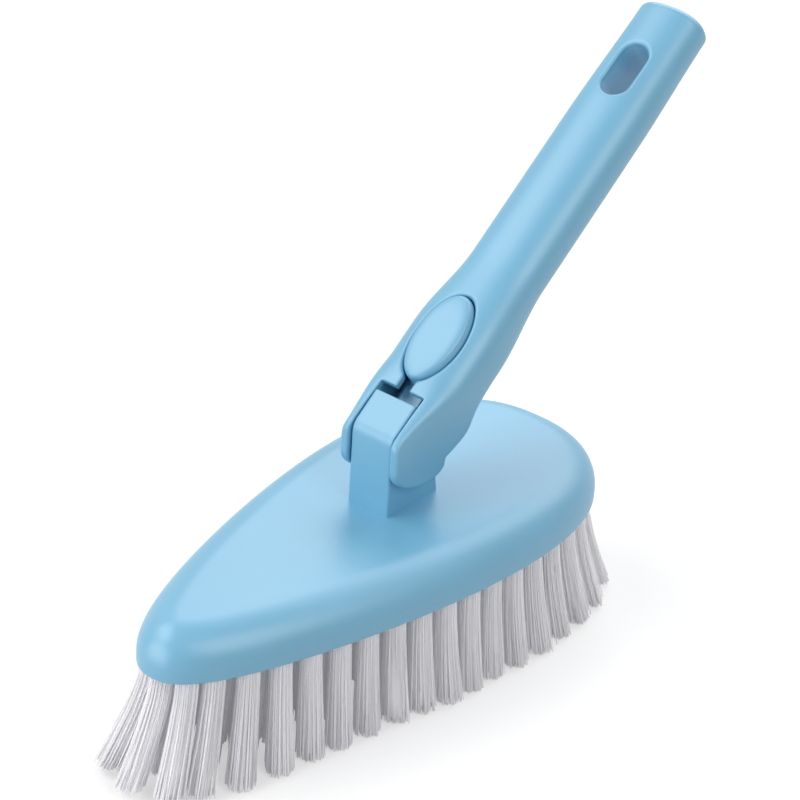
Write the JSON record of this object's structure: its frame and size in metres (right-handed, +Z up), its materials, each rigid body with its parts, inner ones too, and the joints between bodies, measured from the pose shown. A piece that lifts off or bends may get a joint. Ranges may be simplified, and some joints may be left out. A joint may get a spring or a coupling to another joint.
{
  "type": "scrubbing brush",
  "caption": "Hand scrubbing brush with a pointed oval head of stiff white bristles, a slanted handle with a hang hole, and a press latch with a raised oval pad.",
  "frame": {"origin": "at the bristle tips, on the flat end of the middle strand of the tuft at the centre of the head", "axes": "+X along the head from its narrow toe to its broad heel, over which the handle leans; +Y across the head; +Z up, with the bristle tips at z = 0"},
  "size_m": [0.299, 0.1018, 0.212],
  "materials": {
    "head_plastic": "light blue moulded polypropylene, satin",
    "handle_plastic": "light blue moulded polypropylene, satin",
    "latch_plastic": "light blue moulded polypropylene, satin",
    "spring_steel": "bright spring wire",
    "bristle_white": "white synthetic bristle"
  },
  "bodies": {
    "brush_body": {"head_block": "head_plastic", "handle": "handle_plastic", "latch_spring": "spring_steel", "bristle_row_01": "bristle_white", "bristle_row_02": "bristle_white", "bristle_row_03": "bristle_white", "bristle_row_04": "bristle_white", "bristle_row_05": "bristle_white", "bristle_row_06": "bristle_white", "bristle_row_07": "bristle_white", "bristle_row_08": "bristle_white", "bristle_row_09": "bristle_white", "bristle_row_10": "bristle_white", "bristle_row_11": "bristle_white", "bristle_row_12": "bristle_white", "bristle_row_13": "bristle_white", "bristle_row_14": "bristle_white", "bristle_row_15": "bristle_white", "bristle_row_16": "bristle_white", "bristle_row_17": "bristle_white", "bristle_row_18": "bristle_white", "bristle_row_19": "bristle_white"},
    "latch": {"latch_lever": "latch_plastic"}
  },
  "joints": [
    {"name": "latch_press", "type": "hinge", "parent": "brush_body", "child": "latch", "pos_m": [0.03118, 0, 0.10568], "axis": [0, 1, 0], "range_deg": [0, 8], "stiffness_Nm_per_rad": 0.3, "springref_deg": -5.73, "deforming": ["latch_spring"]}
  ]
}
